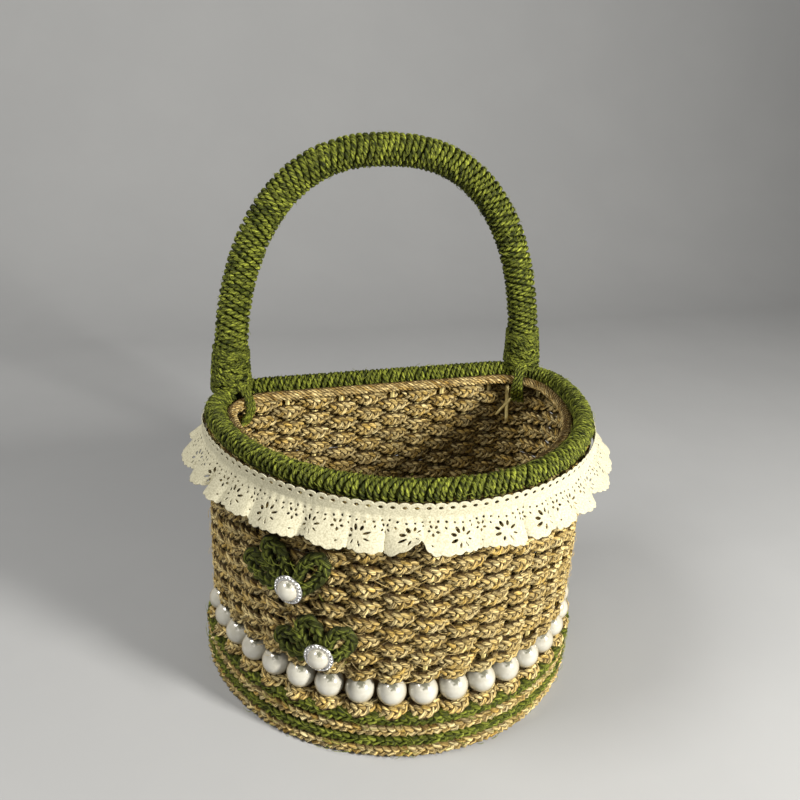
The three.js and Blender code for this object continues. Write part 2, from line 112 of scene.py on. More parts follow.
# Two-ply cord: how full its plies are, the samples in each lay, and how deep the core of a winding lies
PLY_FULLNESS = 1.12
LAY_SAMPLES = 8
CORE_SINK = 0.35

# Shifts of the fibre pattern from one cord to the next, so that no two look the same
STRAND_SHIFT = 371.0
PLY_SHIFT = 173.0
RING_SHIFT = 67.0
FIBRE_SHIFT = 3.0

# Rim winding: radius of its cord, pitch of the turns, lay of the twist, lean of the turns and cord's middle
RIM_RADIUS = 4.55
RIM_CORD = 1.3
RIM_PITCH = 2.6
RIM_LAY = 4.6
RIM_LEAN = 2.4
RIM_CORE = RIM_RADIUS - RIM_CORD + 0.15

# Ring inside the rim, of fine cords side by side
RING_RADIUS = 2.4
RING_CORD = 0.8
RING_CORDS = 6
RING_LAY = 11.6
RING_IN = 6.9
RING_DROP = 2.3

# Handle, and its winding as that of the rim
HANDLE_HALF_WIDTH = 72.5
HANDLE_PAST = HANDLE_HALF_WIDTH - STRAIGHT_HALF
HANDLE_RISE = 104.5
HANDLE_SQUARENESS = 2.39
HANDLE_BACKSET = 2.6
HANDLE_SEAT = 1.0
HANDLE_LEAN = 0.09
HANDLE_RADIUS = 7.4
HANDLE_CORD = 1.45
HANDLE_PITCH = 2.75
HANDLE_LAY = 5.6
HANDLE_CORD_LEAN = 1.9
HANDLE_CORE = HANDLE_RADIUS - HANDLE_CORD + 0.1
FLARE_RISE = 1.3
FLARE_LENGTH = 15.0

# Binding of each foot, which sweeps up and down the leg, and the places out and up of its tail
BINDING_CORD = 1.15
BINDING_LAY = 5.2
BINDING_TURNS = 15
BINDING_MIDDLE = 10.5
BINDING_REACH = 8.0
BINDING_SWEEPS = 0.56
BINDING_CHANGE = 2.0
BINDING_CHANGES = 0.23
BINDING_SINK = 0.35
TAIL_CORDS = 4
TAIL_SPACING = 1.9
TAIL_WAVE = 0.7
TAIL_HANG = ((-5.0, 6.0), (-7.6, 3.4), (-9.6, 1.2), (-10.9, -2.2),
             (-10.6, -5.6), (-8.2, -9.0), (-6.2, -14.0))

# Lace: flat sizes, how it hangs, and the notch in its hem
LACE_WIDTH = 19.2
LACE_HEADER = 7.5
LACE_MOTIF = 20.0
LACE_CELL = 0.5
LACE_THICKNESS = 0.4
LACE_FULLNESS = 1.15
LACE_GAP = 0.9
LACE_FLARE = 8.2
LACE_HANG = 0.74
LACE_FOLDS = 30
LACE_FOLD_DEPTH = 3.5
FOLD_ABOVE = 2.0
FOLD_SWAY = 1.5
FOLD_SAG = 0.6
PUCKER_COUNT = 130
PUCKER_DEPTH = 0.22
PUCKER_HEIGHT = 1.6
NOTCH_PLACE = 206.4
NOTCH_REACH = 7.0
NOTCH_RISE = 5.0

# Waves round the rim that keep the folds uneven in place and in depth: how many and how much
FOLD_DRIFT = (7, 0.7)
FOLD_CHANGE = (11, 0.35)

# Edges of the lace, and its rows of eyelets down from the top
LACE_PICOT = 5.0
PICOT_RISE = 0.9
SCALLOP_DEPTH = 0.9
HEM_PICOT = 3.33
HEM_PICOT_DEPTH = 0.7
HEM_MARGIN = 1.2
SLOT_ROW = 2.05
WAVE_ROW = 7.6
LEAF_ROW = 9.6
FAN_ROW = 10.6
DAISY_ROW = 13.3
DOT_ROW = 16.3

# Eyelets of each row: half width and half height, and how many stand how far out in a group
SLOT = (1.1, 0.66)
WAVE = (0.62, 0.45)
WAVE_COUNT = 6
WAVE_SWING = 0.5
LEAF = (0.75, 0.38)
LEAF_REACH = 4.6
LEAF_TILT = 0.9
FAN = (0.8, 0.5)
FAN_COUNT = 5
FAN_REACH = (1.8, 1.7)
DAISY = (1.1, 0.5)
DAISY_COUNT = 8
DAISY_REACH = (3.2, 2.9)
DOT = (0.5, 0.42)

# Flowers: places on the front and the lean of the petals in degrees, and how far out the flowers lie
FLOWERS = {
    "upper": {"around": -0.769, "height": 78.5, "length": 23.5, "petals": (156, 116, 61)},
    "lower": {"around": -0.626, "height": 50.6, "length": 19.5, "petals": (158, 110, 60)},
}
FLOWER_OUT = 4.0
PETAL_WIDTH = 12.0
PETAL_CORD = 4.9
PETAL_PLAIT = 11.5
PETAL_ROOT = 5.5
PETAL_START = 3.0
PETAL_TAPER = 0.3
PETAL_LIFT = 4.2
PETAL_STEP = 0.5

# Jewels: silver saucer with beads on its edge, and the pearl in it
JEWEL_OUT = 9.6
BEZEL_RADIUS = 6.2
BEZEL_BEADS = 22
BEAD_RADIUS = 0.62
BEAD_IN = 0.85
CABOCHON_RADIUS = 4.35
CABOCHON_HEIGHT = 3.9
CABOCHON_SEAT = 1.25

# Loose fibres: ranges that their sizes are drawn from, and how they lie
FIBRE_LENGTHS = (2.5, 9.0)
FIBRE_RISES = (0.2, 1.5)
FIBRE_RADII = (0.06, 0.1)
FIBRE_SPREAD = 0.7
FIBRE_ARCH = 2.4
FIBRE_BEND = 0.12
FIBRE_SINK = 0.25
FIBRE_FLOOR = 0.15
PETAL_FUZZ_ACROSS = (-15, 13)
PETAL_FUZZ_RISE = (-1, 15)
PETAL_FUZZ_OUT = 10.0

# Uneven hand of the maker: spacing, amount and seed of each smooth change
UNEVEN = {
    "weave swing": (1.0, 0.07, 11),
    "weave out": (0.7, 0.12, 12),
    "weave rise": (1.3, 0.3, 13),
    "weave height": (0.9, 0.06, 14),
    "pair out": (0.8, 0.15, 21),
    "pair rise": (1.1, 0.25, 23),
    "band rise": (17.0, 0.18, 30),
    "band out": (23.0, 0.25, 40),
    "turn place": (7.0, 0.22, 0),
    "turn reach": (3.1, 0.12, 1),
    "lace hem": (17.0, 1.5, 71),
}

# Camera, fitted to the photo: place in millimetres, turns in radians
CAMERA_PLACE = (-113.7, -315.5, 267.9)
CAMERA_YAW = 0.3462
CAMERA_PITCH = 0.4076
CAMERA_ROLL = 0.0586
FOCAL_PIXELS = 801.6
PHOTO_PIXELS = 800
SENSOR_WIDTH = 36

# Lights: place in metres, size, power and colour
LIGHT_AIM = (0, 0, 0.08)
LIGHTS = {
    "key": ((0.48, -0.66, 0.44), (0.15, 0.20), 15.5, (1.0, 0.965, 0.88)),
    "fill": ((-0.50, -0.72, 0.72), (0.30, 0.35), 1.2, (1.0, 0.95, 0.84)),
    "side": ((-0.52, -0.06, 0.80), (0.3, 0.3), 6.2, (1.0, 0.97, 0.90)),
}
WORLD_COLOR = (1.0, 0.98, 0.93, 1)
WORLD_STRENGTH = 0.12

# Floor in metres: half its width, and the bend that takes it up into the backdrop
FLOOR_HALF = 3.0
BEND_START = 0.45
BEND_RADIUS = 0.35


def node_box(name):
    """Lowest and highest corner of a node of the frame, in millimetres"""
    low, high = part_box(name)
    return np.array(low) / MM, np.array(high) / MM


def node_middle(name):
    low, high = node_box(name)
    return float((low[2] + high[2]) / 2)


# Heights, taken from the nodes
RIM_Z = node_middle("rim_wrap")
RING_Z = RIM_Z - RING_DROP
BAND_TOP = float(node_box("base_braid_4")[1][2])
FOOT_ROW_Z = float(node_box("weave_foot_row")[0][2]) + FOOT_ROW_RISE
PEARL_Z = node_middle("pearl_strand")
HEAD_ROW_Z = node_middle("weave_head_row") - HEAD_ROW_DROP
WEAVE_START = HEAD_ROW_Z + WEAVE_RISE
LACE_TOP_Z = float(node_box("lace_trim")[1][2])


# Plan and vectors


def unit(vectors):
    return vectors / np.linalg.norm(vectors, axis=-1, keepdims=True)


def plan(s):
    """Points and outward directions on the line of the stakes at distances s from the middle of the back"""
    rest = np.mod(np.asarray(s, float), PLAN_LENGTH)
    starts = np.cumsum([0, STRAIGHT_HALF, CORNER_LENGTH, FRONT_LENGTH, CORNER_LENGTH])
    part = np.clip(np.searchsorted(starts, rest, side="right") - 1, 0, 4)
    along = rest - starts[part]
    radius = np.where(part == 2, FRONT_RADIUS, CORNER_RADIUS)
    first_angle = np.array([0.5, 0.5, 1.0, 0.0, 0.5])[part] * math.pi
    turning = np.isin(part, (1, 2, 3))
    angle = first_angle + np.where(turning, along / radius, 0)
    centre_x = np.array([0, -STRAIGHT_HALF, 0, STRAIGHT_HALF, STRAIGHT_HALF])[part]
    centre_x = centre_x - np.where(turning, 0, along)
    facing = np.stack([np.cos(angle), np.sin(angle), np.zeros_like(angle)], axis=-1)
    points = facing * radius[..., None]
    points[..., 0] += centre_x
    return points, facing


def wall_points(s, out, z):
    """Points at distances s round the plan, out from the line of the stakes and at heights z"""
    points, facing = plan(s)
    points = points + facing * np.broadcast_to(out, np.shape(s))[..., None]
    points[..., 2] = z
    return points


def wander(at, change, seed=0, scale=1.0):
    """Smooth change along a line, from the table of the uneven hand"""
    spacing, amount, first_seed = UNEVEN[change]
    place = np.asarray(at, float) / spacing
    place = place - place.min()
    amount = amount * scale
    knots = np.random.default_rng(first_seed + seed).uniform(-amount, amount, int(place.max()) + 3)
    low = np.floor(place).astype(int)
    blend = place - low
    blend = blend * blend * (3 - 2 * blend)
    return knots[low] * (1 - blend) + knots[low + 1] * blend


def distances(points):
    """Length along a line of points, up to each point"""
    steps = np.linalg.norm(np.diff(points, axis=0), axis=1)
    return np.concatenate([[0.0], np.cumsum(steps)])


def section(line, side, closed=False):
    """Directions across a line: the first as near to side as it can be, the second square to it"""
    if closed:
        along = unit(np.roll(line, -1, axis=0) - np.roll(line, 1, axis=0))
    else:
        along = unit(np.gradient(line, axis=0))
    deep = unit(np.cross(along, np.broadcast_to(side, line.shape)))
    return np.cross(deep, along), deep


# Mesh making


class Skein:
    """Tubes of cord gathered into one mesh, with millimetres along and turns round each cord as its UVs"""

    def __init__(self):
        self.points = []
        self.faces = []
        self.uvs = []
        self.count = 0

    def tube(self, line, side, half_side, half_deep=None, sides=6, closed=False, start=0.0, core=False):
        """Tube along a line; a core has no turns in its UVs, which gives it the full painted edge shade, so
        that it shows as painted shade in the grooves
        """
        count = len(line)
        wide, deep = section(line, side, closed)
        half_side = np.broadcast_to(half_side, count)[:, None, None]
        half_deep = half_side if half_deep is None else np.broadcast_to(half_deep, count)[:, None, None]
        angle = math.tau * np.arange(sides) / sides
        ring = np.cos(angle)[None, :, None] * half_side * wide[:, None]
        ring = ring + np.sin(angle)[None, :, None] * half_deep * deep[:, None]
        self.points.append((line[:, None] + ring).reshape(-1, 3))

        spans = count if closed else count - 1
        here = np.arange(spans)[:, None]
        turn = np.arange(sides)[None, :]
        ahead = (here + 1) % count
        beside = (turn + 1) % sides
        corners = [here * sides + turn, here * sides + beside, ahead * sides + beside, ahead * sides + turn]
        quads = np.stack(corners, axis=-1).reshape(-1, 4) + self.count
        self.faces.extend(quads.tolist())

        length = distances(np.vstack([line, line[:1]])) + start
        near = np.broadcast_to(length[:spans, None], (spans, sides))
        far = np.broadcast_to(length[1:spans + 1, None], (spans, sides))
        low = np.broadcast_to(turn / sides, (spans, sides))
        high = low + 1 / sides
        # Painted shade: UVs with no turns sit on a strand's flank, where the fibre shader paints the most
        # shade
        if core:
            low = high = np.zeros_like(low)
        uv = np.stack([near, low, near, high, far, high, far, low], axis=-1)
        self.uvs.append(uv.reshape(-1, 2))
        if not closed:
            first = self.count
            last = self.count + (count - 1) * sides
            self.faces.append(list(range(first + sides - 1, first - 1, -1)))
            self.faces.append(list(range(last, last + sides)))
            # End caps take zero UVs too, so they also get the full painted edge shade
            self.uvs.append(np.zeros((2 * sides, 2)))
        self.count += count * sides

    def build(self, name, material, slot, *nodes):
        return make_piece(name, np.concatenate(self.points), self.faces, material, slot, nodes,
                          uvs=np.concatenate(self.uvs))


def new_object(name, data):
    made = bpy.data.objects.new(name, data)
    bpy.context.scene.collection.objects.link(made)
    return made


def smooth_mesh(name, points, faces, material):
    """Object with a smooth mesh of one material; its points are in metres"""
    mesh = bpy.data.meshes.new(name)
    mesh.from_pydata(points, [], faces)
    mesh.polygons.foreach_set("use_smooth", [True] * len(faces))
    mesh.materials.append(material)
    return new_object(name, mesh)


def make_piece(name, points, faces, material, slot, nodes=(), uvs=None):
    """Mesh in the frame's place that rides on the basket and stands for the given nodes"""
    piece = smooth_mesh(name, (points * MM).tolist(), faces, material)
    if uvs is not None:
        layer = piece.data.uv_layers.new(name="cord")
        layer.data.foreach_set("uv", np.asarray(uvs, np.float32).ravel())
    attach(piece, "root")
    if nodes:
        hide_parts(*nodes)
    return piece


def plaited_rope(skein, line, up, half_height, half_depth, plait, closed=False, phase=0.0, sides=6):
    """Three strands plaited round a line: up is the direction of half_height, square to it half_depth"""
    count = len(line)
    length = distances(line)
    if closed:
        whole = length[-1] + np.linalg.norm(line[-1] - line[0])
        plait = whole / round(whole / plait)
    high, deep = section(line, up)
    half_height = np.broadcast_to(half_height, count)
    half_depth = np.broadcast_to(half_depth, count)
    strand_high = STRAND_HIGH[0] * half_height + STRAND_HIGH[1]
    strand_deep = STRAND_DEEP[0] * half_depth + STRAND_DEEP[1]
    for strand in range(3):
        turn = math.tau * (length / plait + strand / 3) + phase
        rise = (half_height - strand_high) * np.sin(turn)
        dive = -(half_depth - strand_deep) * np.sin(2 * turn)
        centre = line + rise[:, None] * high + dive[:, None] * deep
        skein.tube(centre, high, strand_high, strand_deep, sides, closed, strand * STRAND_SHIFT)
    # Core fill under the strands, painted dark as the shade in the gaps between them
    skein.tube(line, high, PLAIT_CORE[0] * half_height, PLAIT_CORE[1] * half_depth, 4, closed, core=True)


def laid_cord(skein, line, side, radius, lay, phase=0.0, hand=1):
    """Two plies twisted round a line; hand is 1 or -1 for the two ways of the twist"""
    length = distances(line)
    wide, deep = section(line, side)
    ply_radius = 0.5 * radius * PLY_FULLNESS
    reach = radius - ply_radius
    for ply in range(2):
        turn = hand * math.tau * (length / lay) + np.pi * ply + phase
        centre = line + reach * (np.cos(turn)[:, None] * wide + np.sin(turn)[:, None] * deep)
        skein.tube(centre, deep, ply_radius, start=ply * PLY_SHIFT)


# Shader groups and materials


def new_group(name, inputs, outputs):
    """Node group whose inputs and outputs have the given names and kinds"""
    group = bpy.data.node_groups.new(name, "ShaderNodeTree")
    for sockets, side in ((inputs, "INPUT"), (outputs, "OUTPUT")):
        for label, kind in sockets.items():
            group.interface.new_socket(label, in_out=side, socket_type="NodeSocket" + kind)
    return group, group.nodes.new("NodeGroupInput").outputs, group.nodes.new("NodeGroupOutput").inputs


def feed(tree, socket, value):
    """Link a socket to another one, or set it to a value"""
    if isinstance(value, bpy.types.NodeSocket):
        tree.links.new(value, socket)
    else:
        socket.default_value = value


def add_node(tree, kind, settings=None, **links):
    """Node with its settings, and links or values for its sockets, whose names have _ for spaces"""
    node = tree.nodes.new(kind)
    for key, value in (settings or {}).items():
        setattr(node, key, value)
    for label, value in links.items():
        feed(tree, node.inputs[label.replace("_", " ")], value)
    return node


def add_math(tree, operation, *values):
    node = add_node(tree, "ShaderNodeMath", {"operation": operation})
    for socket, value in zip(node.inputs, values):
        feed(tree, socket, value)
    return node.outputs[0]


def add_mix(tree, factor, first, second):
    node = add_node(tree, "ShaderNodeMix", {"data_type": "RGBA"})
    for index, value in ((0, factor), (6, first), (7, second)):
        feed(tree, node.inputs[index], value)
    return node.outputs[2]


def add_range(tree, value, **limits):
    return add_node(tree, "ShaderNodeMapRange", Value=value, **limits).outputs[0]


def add_noise(tree, place, scale, detail, roughness):
    return add_node(tree, "ShaderNodeTexNoise", Vector=place, Scale=scale, Detail=detail,
                    Roughness=roughness).outputs[0]


def twisted_fibres():
    """Fibres that wind round a cord: lit ridges with painted shade in the grooves between them, more painted
    shade by Edge Shade on the flanks of each strand where it meets the next, and slow random changes of tone
    """
    inputs = {"Cord Place": "Vector", "Groove Color": "Color", "Fibre Color": "Color",
              "Bleached Color": "Color", "Fibre Length": "Float", "Fibres Round": "Float",
              "Twist Length": "Float", "Edge Shade": "Float"}
    outputs = {"Color": "Color", "Height": "Float", "Roughness": "Float"}
    group, given, result = new_group("twisted fibres", inputs, outputs)
    place = add_node(group, "ShaderNodeSeparateXYZ", Vector=given["Cord Place"])
    along, turns = place.outputs[0], place.outputs[1]
    winding = add_math(group, "DIVIDE", along, given["Twist Length"])
    angle = add_math(group, "MULTIPLY", add_math(group, "ADD", turns, winding), math.tau)
    spread = add_math(group, "DIVIDE", given["Fibres Round"], math.tau)
    across = add_math(group, "MULTIPLY", add_math(group, "COSINE", angle), spread)
    over = add_math(group, "MULTIPLY", add_math(group, "SINE", angle), spread)
    drawn = add_math(group, "DIVIDE", along, given["Fibre Length"])
    spot = add_node(group, "ShaderNodeCombineXYZ", X=drawn, Y=across, Z=over).outputs[0]

    fine = add_noise(group, spot, 1.6, 3.0, 0.65)
    # Painted shade: where the fine fibre pattern is low, the colour goes to the shade painted in the grooves
    ridge = add_range(group, fine, From_Min=0.40, From_Max=0.61)
    shade = add_range(group, add_noise(group, spot, 0.23, 2.0, 0.5), From_Min=0.36, From_Max=0.66)
    fibre = add_mix(group, shade, given["Fibre Color"], given["Bleached Color"])
    # Painted shade: each strand darkens towards its flanks, where it meets the next strand, by the Edge Shade
    # share
    round_cord = add_math(group, "MULTIPLY", turns, math.tau)
    side = add_math(group, "ABSOLUTE", add_math(group, "COSINE", round_cord))
    edge = add_range(group, side, From_Min=0.55, From_Max=0.97)
    lit = add_math(group, "SUBTRACT", 1.0, add_math(group, "MULTIPLY", edge, given["Edge Shade"]))
    shown = add_math(group, "MULTIPLY", lit, add_math(group, "MULTIPLY_ADD", ridge, 0.88, 0.12))
    rough = add_range(group, fine, To_Min=0.75, To_Max=0.42)
    group.links.new(add_mix(group, shown, given["Groove Color"], fibre), result["Color"])
    group.links.new(ridge, result["Height"])
    group.links.new(rough, result["Roughness"])
    return group


def surface_grain():
    """Fine streaks and specks for wood, board, lace thread and floor"""
    inputs = {"Place": "Vector", "Base Color": "Color", "Streak Color": "Color", "Scale": "Float",
              "Stretch": "Vector"}
    outputs = {"Color": "Color", "Height": "Float"}
    group, given, result = new_group("surface grain", inputs, outputs)
    stretched = add_node(group, "ShaderNodeVectorMath", {"operation": "MULTIPLY"})
    group.links.new(given["Place"], stretched.inputs[0])
    group.links.new(given["Stretch"], stretched.inputs[1])
    noise = add_noise(group, stretched.outputs[0], given["Scale"], 4.0, 0.6)
    streak = add_range(group, noise, From_Min=0.4, From_Max=0.65)
    group.links.new(add_mix(group, streak, given["Base Color"], given["Streak Color"]), result["Color"])
    group.links.new(noise, result["Height"])
    return group


FIBRES = twisted_fibres()
GRAIN = surface_grain()


def new_material(name, **values):
    """Material with a Principled BSDF that has the given socket values, and its node tree"""
    material = bpy.data.materials.new(name)
    material.use_nodes = True
    shader = material.node_tree.nodes["Principled BSDF"]
    for label, value in values.items():
        shader.inputs[label.replace("_", " ")].default_value = value
    return material, material.node_tree, shader


def add_bump(tree, shader, height, strength, distance):
    bump = add_node(tree, "ShaderNodeBump", Height=height, Strength=strength, Distance=distance)
    tree.links.new(bump.outputs[0], shader.inputs["Normal"])


def cord_material(name, groove_shade, fibre, bleached, length=7.0, fibres=9.0, twist=14.0, bump=0.35, edge=0.0):
    """Cord of fibres, from the colour of the shade painted in its grooves, the colours of its fibres, the
    sizes of the fibre pattern, and edge, the share of painted shade on the flanks of its strands
    """
    material, tree, shader = new_material(name, Specular_IOR_Level=0.2)
    place = add_node(tree, "ShaderNodeUVMap", {"uv_map": "cord"}).outputs[0]
    group = add_node(tree, "ShaderNodeGroup", {"node_tree": FIBRES}, Cord_Place=place,
                     Groove_Color=(*groove_shade, 1), Fibre_Color=(*fibre, 1), Bleached_Color=(*bleached, 1),
                     Fibre_Length=length, Fibres_Round=fibres, Twist_Length=twist, Edge_Shade=edge)
    tree.links.new(group.outputs["Color"], shader.inputs["Base Color"])
    tree.links.new(group.outputs["Roughness"], shader.inputs["Roughness"])
    add_bump(tree, shader, group.outputs["Height"], 0.8, bump * MM)
    return material


def add_grain(tree, base, streak, scale, stretch=(1.0, 1.0, 1.0)):
    place = add_node(tree, "ShaderNodeTexCoord").outputs["Object"]
    return add_node(tree, "ShaderNodeGroup", {"node_tree": GRAIN}, Place=place, Scale=scale,
                    Base_Color=(*base, 1), Streak_Color=(*streak, 1), Stretch=stretch).outputs


def grain_material(name, base, streak, scale, roughness, bump, stretch=(1.0, 1.0, 1.0)):
    material, tree, shader = new_material(name, Roughness=roughness)
    grain = add_grain(tree, base, streak, scale, stretch)
    tree.links.new(grain["Color"], shader.inputs["Base Color"])
    add_bump(tree, shader, grain["Height"], 0.6, bump * MM)
    return material


def pearl_material():
    """Lustre with a painted reflection, darker where the bead would mirror the dark side of the room, and
    painted lustre and shade, browner towards the bead's outline
    """
    # Colours of the painted reflection of the room's dark side and of the painted lustre and shade at the
    # outline
    painted_reflection_colour, lustre_shade_colour = (0.10, 0.10, 0.065, 1), (0.36, 0.29, 0.16, 1)
    painted_reflection_normal = (-0.13, -0.49, 0.86)
    material, tree, shader = new_material("pearl lustre", Roughness=0.2, Coat_Weight=0.8, Coat_Roughness=0.05,
                                          IOR=1.6)
    pale = add_grain(tree, (0.45, 0.435, 0.375), (0.53, 0.52, 0.47), 180.0)["Color"]
    # Painted reflection: the bead darkens in an uneven spot where its normal points up and towards the camera
    facing_out = add_node(tree, "ShaderNodeTexCoord").outputs["Normal"]
    towards = add_node(tree, "ShaderNodeVectorMath", {"operation": "DOT_PRODUCT"})
    tree.links.new(facing_out, towards.inputs[0])
    towards.inputs[1].default_value = painted_reflection_normal
    uneven = add_noise(tree, facing_out, 5.0, 2.0, 0.5)
    seen = add_math(tree, "MULTIPLY_ADD", uneven, 0.18, towards.outputs["Value"])
    painted_reflection = add_range(tree, seen, From_Min=1.02, From_Max=1.07, To_Max=0.85)
    # Painted lustre and shade: the bead turns browner and darker towards its outline as seen from the camera
    facing = add_node(tree, "ShaderNodeLayerWeight", Blend=0.35).outputs["Facing"]
    edge = add_range(tree, facing, From_Min=0.25, From_Max=0.9)
    lustre = add_mix(tree, edge, add_mix(tree, painted_reflection, pale, painted_reflection_colour), lustre_shade_colour)
    tree.links.new(lustre, shader.inputs["Base Color"])
    return material


def silver_material():
    material, tree, shader = new_material("silver bezel", Metallic=1.0)
    grain = add_grain(tree, (0.80, 0.80, 0.80), (0.62, 0.62, 0.64), 900.0)
    tree.links.new(grain["Color"], shader.inputs["Base Color"])
    tree.links.new(add_range(tree, grain["Height"], To_Min=0.18, To_Max=0.38), shader.inputs["Roughness"])
    return material


# The first colour of each cord is the painted shade in its grooves, and edge is how much painted shade
# darkens the flanks of its strands
JUTE = cord_material("natural jute rope", (0.03, 0.012, 0.0005), (0.70, 0.48, 0.13), (1.0, 0.83, 0.42),
                     fibres=7.5, edge=0.9, bump=0.5)
JUTE_BAND = cord_material("natural jute braid", (0.05, 0.022, 0.002), (0.62, 0.41, 0.10), (1.0, 0.86, 0.46),
                          fibres=6.0, edge=0.65, bump=0.5)
GREEN_BAND = cord_material("green jute braid", (0.006, 0.009, 0.0005), (0.085, 0.105, 0.003),
                           (0.34, 0.38, 0.05), fibres=6.0, edge=0.65, bump=0.5)
GREEN_CORD = cord_material("green jute cord", (0.003, 0.005, 0.0002), (0.045, 0.060, 0.001),
                           (0.40, 0.45, 0.055), length=3.5, fibres=4.5, twist=6.0, bump=0.45, edge=0.6)
FLOWER_CORD = cord_material("dark green braided cord", (0.002, 0.003, 0.0002), (0.036, 0.044, 0.001),
                            (0.24, 0.28, 0.04), length=5.0, fibres=13.0, twist=30.0, edge=0.75)
TAN_CORD = cord_material("fine tan cord", (0.03, 0.013, 0.001), (0.42, 0.26, 0.055), (1.0, 0.80, 0.38),
                         length=5.0, fibres=4.0, twist=9.0, edge=0.9)
FUZZ = cord_material("loose jute fibres", (0.40, 0.25, 0.07), (0.75, 0.55, 0.20), (1.0, 0.85, 0.45),
                     bump=0.05)
GREEN_FUZZ = cord_material("loose green fibres", (0.08, 0.10, 0.01), (0.20, 0.24, 0.02), (0.50, 0.54, 0.10),
                           bump=0.05)
BAMBOO = grain_material("split bamboo", (0.86, 0.74, 0.34), (0.66, 0.52, 0.20), 900.0, 0.45, 0.1,
                        stretch=(1.0, 1.0, 0.04))
# Base board: dark wood, made darker still as painted shade for the inside of the basket
BOARD = grain_material("base board", (0.20, 0.125, 0.05), (0.13, 0.08, 0.03), 260.0, 0.6, 0.1,
                       stretch=(0.15, 1.0, 1.0))
LACE = grain_material("cotton lace", (0.56, 0.535, 0.40), (0.37, 0.345, 0.24), 1500.0, 0.85, 0.12)
FLOOR = grain_material("pale floor", (0.33, 0.337, 0.353), (0.34, 0.347, 0.363), 9.0, 0.7, 0.01)
PEARL = pearl_material()
SILVER = silver_material()


# Camera


def add_camera():
    level = math.cos(CAMERA_PITCH)
    ahead = Vector((math.sin(CAMERA_YAW) * level, math.cos(CAMERA_YAW) * level, -math.sin(CAMERA_PITCH)))
    level_right = Vector((math.cos(CAMERA_YAW), -math.sin(CAMERA_YAW), 0))
    level_up = level_right.cross(ahead)
    right = math.cos(CAMERA_ROLL) * level_right + math.sin(CAMERA_ROLL) * level_up
    up = math.cos(CAMERA_ROLL) * level_up - math.sin(CAMERA_ROLL) * level_right
    data = bpy.data.cameras.new("camera")
    data.sensor_width = SENSOR_WIDTH
    data.lens = SENSOR_WIDTH * FOCAL_PIXELS / PHOTO_PIXELS
    camera = new_object("camera", data)
    turn = Matrix((right, up, -ahead)).transposed().to_4x4()
    camera.matrix_world = Matrix.Translation(Vector(CAMERA_PLACE) * MM) @ turn
    bpy.context.scene.camera = camera


# Woven wall


def weave_path(places):
    """Line, half height and half depth of the long rope at places counted in stakes"""
    s = (places + FIRST_STAKE) * STAKE_PITCH
    swing = -np.cos(np.pi * places)
    swing = swing * (1 + SWING_FLATNESS * (1 - swing ** 2))
    bulge = np.abs(swing) ** BULGE_POWER
    out = BULGE_OUT * swing * (1 + wander(places, "weave swing")) + wander(places, "weave out")
    z = WEAVE_START + ROW_PITCH * places / STAKE_COUNT + wander(places, "weave rise")
    half_height = 0.5 * (CROSSING_HEIGHT + (BULGE_HEIGHT - CROSSING_HEIGHT) * bulge)
    half_height = half_height * (1 + wander(places, "weave height"))
    half_depth = 0.5 * (CROSSING_DEPTH + (BULGE_DEPTH - CROSSING_DEPTH) * bulge)
    return wall_points(s, out, z), half_height, half_depth


def add_weave():
    """The one long rope, cut into three meshes so that none is too heavy"""
    top = RIM_Z - RIM_RADIUS - WEAVE_CLEARANCE
    last = math.floor((top - WEAVE_START) / ROW_PITCH * STAKE_COUNT)
    places = np.linspace(0, last, last * WEAVE_SAMPLES + 1)
    line, half_height, half_depth = weave_path(places)
    for third, label in enumerate(("lower", "middle", "upper")):
        kept = (places >= last * third // 3) & (places <= last * (third + 1) // 3)
        skein = Skein()
        plaited_rope(skein, line[kept], UP, half_height[kept], half_depth[kept], ROPE_PLAIT)
        skein.build(f"weave_rope_{label}", JUTE, "jute_rope", "weave_rope")


def locking_row(name, node, middle, reach, height, lean):
    """Two ropes that twist round each other between the stakes, so that every stake has a bulge"""
    skein = Skein()
    places = np.linspace(0, STAKE_COUNT, STAKE_COUNT * PAIR_SAMPLES + 1)
    s = (places + FIRST_STAKE) * STAKE_PITCH
    facing = plan(s)[1]
    for rope in range(2):
        swing = np.cos(np.pi * (places + rope))
        bulge = np.clip((swing + PAIR_OVERLAP) / (1 + PAIR_OVERLAP), 0, 1) ** PAIR_POWER
        out = reach * bulge - BULGE_OUT * (1 - bulge) + wander(places, "pair out", rope)
        z = middle + PAIR_RISE * np.sin(np.pi * (places + rope)) + wander(places, "pair rise", rope)
        tilt = lean * bulge[:, None]
        up = np.cos(tilt) * UP - np.sin(tilt) * facing
        half_height = 0.5 * (PAIR_HEIGHT + (height - PAIR_HEIGHT) * bulge)
        plaited_rope(skein, wall_points(s, out, z), up, half_height, PAIR_DEPTH, ROPE_PLAIT, phase=rope)
    skein.build(name, JUTE, "jute_rope", node)


def add_locking_rows():
    locking_row("foot_locking_row", "weave_foot_row", FOOT_ROW_Z, LOBE_OUT, LOBE_HEIGHT, LOBE_LEAN)
    locking_row("head_locking_row", "weave_head_row", HEAD_ROW_Z, BULGE_OUT, HEAD_HEIGHT, 0.0)


def add_bamboo_bits():
    """Split ends of bamboo that cross inside the wall, at the right of the back"""
    skein = Skein()
    for top, top_z, foot, foot_z, half_width in BAMBOO_BITS:
        step = np.linspace(0, 1, 8)
        s = top + (foot - top) * step
        line = wall_points(s, -BIT_IN, top_z + (foot_z - top_z) * step)
        skein.tube(line, np.cross(plan(s)[1], UP), half_width, BIT_HALF_DEPTH)
    skein.build("split_bamboo_bits", BAMBOO, "bamboo")


